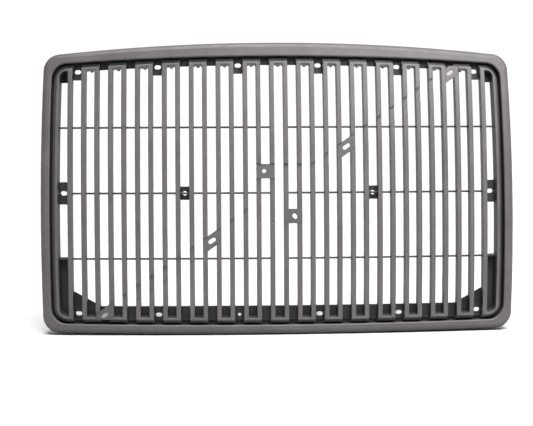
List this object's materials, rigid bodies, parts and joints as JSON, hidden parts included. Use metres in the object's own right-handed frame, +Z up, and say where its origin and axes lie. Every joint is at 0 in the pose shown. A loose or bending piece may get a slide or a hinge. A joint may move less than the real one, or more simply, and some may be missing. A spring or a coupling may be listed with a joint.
{
  "type": "truck front grille",
  "caption": "Tall front grille for a heavy truck: a domed surround, upright closed hoops, thin cross rods and an empty slanted emblem seat.",
  "frame": {"origin": "centre of the bounding box; the middle of the centre hoop is on the YZ plane", "axes": "+X to the viewer's right across the vehicle, -Y forward out of the grille face, +Y into the hood, +Z up"},
  "size_m": [1.1086, 0.1244, 0.6797],
  "materials": {
    "bezel_plastic": "satin, fine grain",
    "hoop_plastic": "satin, fine grain",
    "frame_plastic": "matte",
    "seat_plastic": "matte",
    "rod_paint": "satin black",
    "screw_steel": "zinc plated",
    "rivet_aluminium": "satin"
  },
  "bodies": {
    "root": {"bezel": "bezel_plastic", "hoop_01": "hoop_plastic", "hoop_02": "hoop_plastic", "hoop_03": "hoop_plastic", "hoop_04": "hoop_plastic", "hoop_05": "hoop_plastic", "hoop_06": "hoop_plastic", "hoop_07": "hoop_plastic", "hoop_08": "hoop_plastic", "hoop_09": "hoop_plastic", "hoop_10": "hoop_plastic", "hoop_11": "hoop_plastic", "hoop_12": "hoop_plastic", "hoop_13": "hoop_plastic", "hoop_14": "hoop_plastic", "hoop_15": "hoop_plastic", "hoop_16": "hoop_plastic", "hoop_17": "hoop_plastic", "top_rail": "frame_plastic", "bottom_panel": "frame_plastic", "side_rail_left": "frame_plastic", "side_rail_right": "frame_plastic", "upper_gusset_left": "frame_plastic", "upper_gusset_right": "frame_plastic", "lower_corner_left": "frame_plastic", "lower_corner_right": "frame_plastic", "tie_plate_left": "frame_plastic", "tie_plate_right": "frame_plastic", "seat_plate_outer_left": "seat_plastic", "seat_plate_outer_right": "seat_plastic", "seat_plate_inner_left": "seat_plastic", "seat_plate_inner_right": "seat_plastic", "badge_plate_left": "seat_plastic", "badge_plate_right": "seat_plastic", "rod_upper_left": "rod_paint", "rod_upper_right": "rod_paint", "rod_middle_left": "rod_paint", "rod_middle_right": "rod_paint", "rod_lower_left": "rod_paint", "rod_lower_right": "rod_paint", "hoop_screws_top": "screw_steel", "hoop_screws_bottom": "screw_steel", "bezel_screws": "screw_steel", "tie_screws": "screw_steel", "frame_rivets": "rivet_aluminium"}
  },
  "joints": []
}
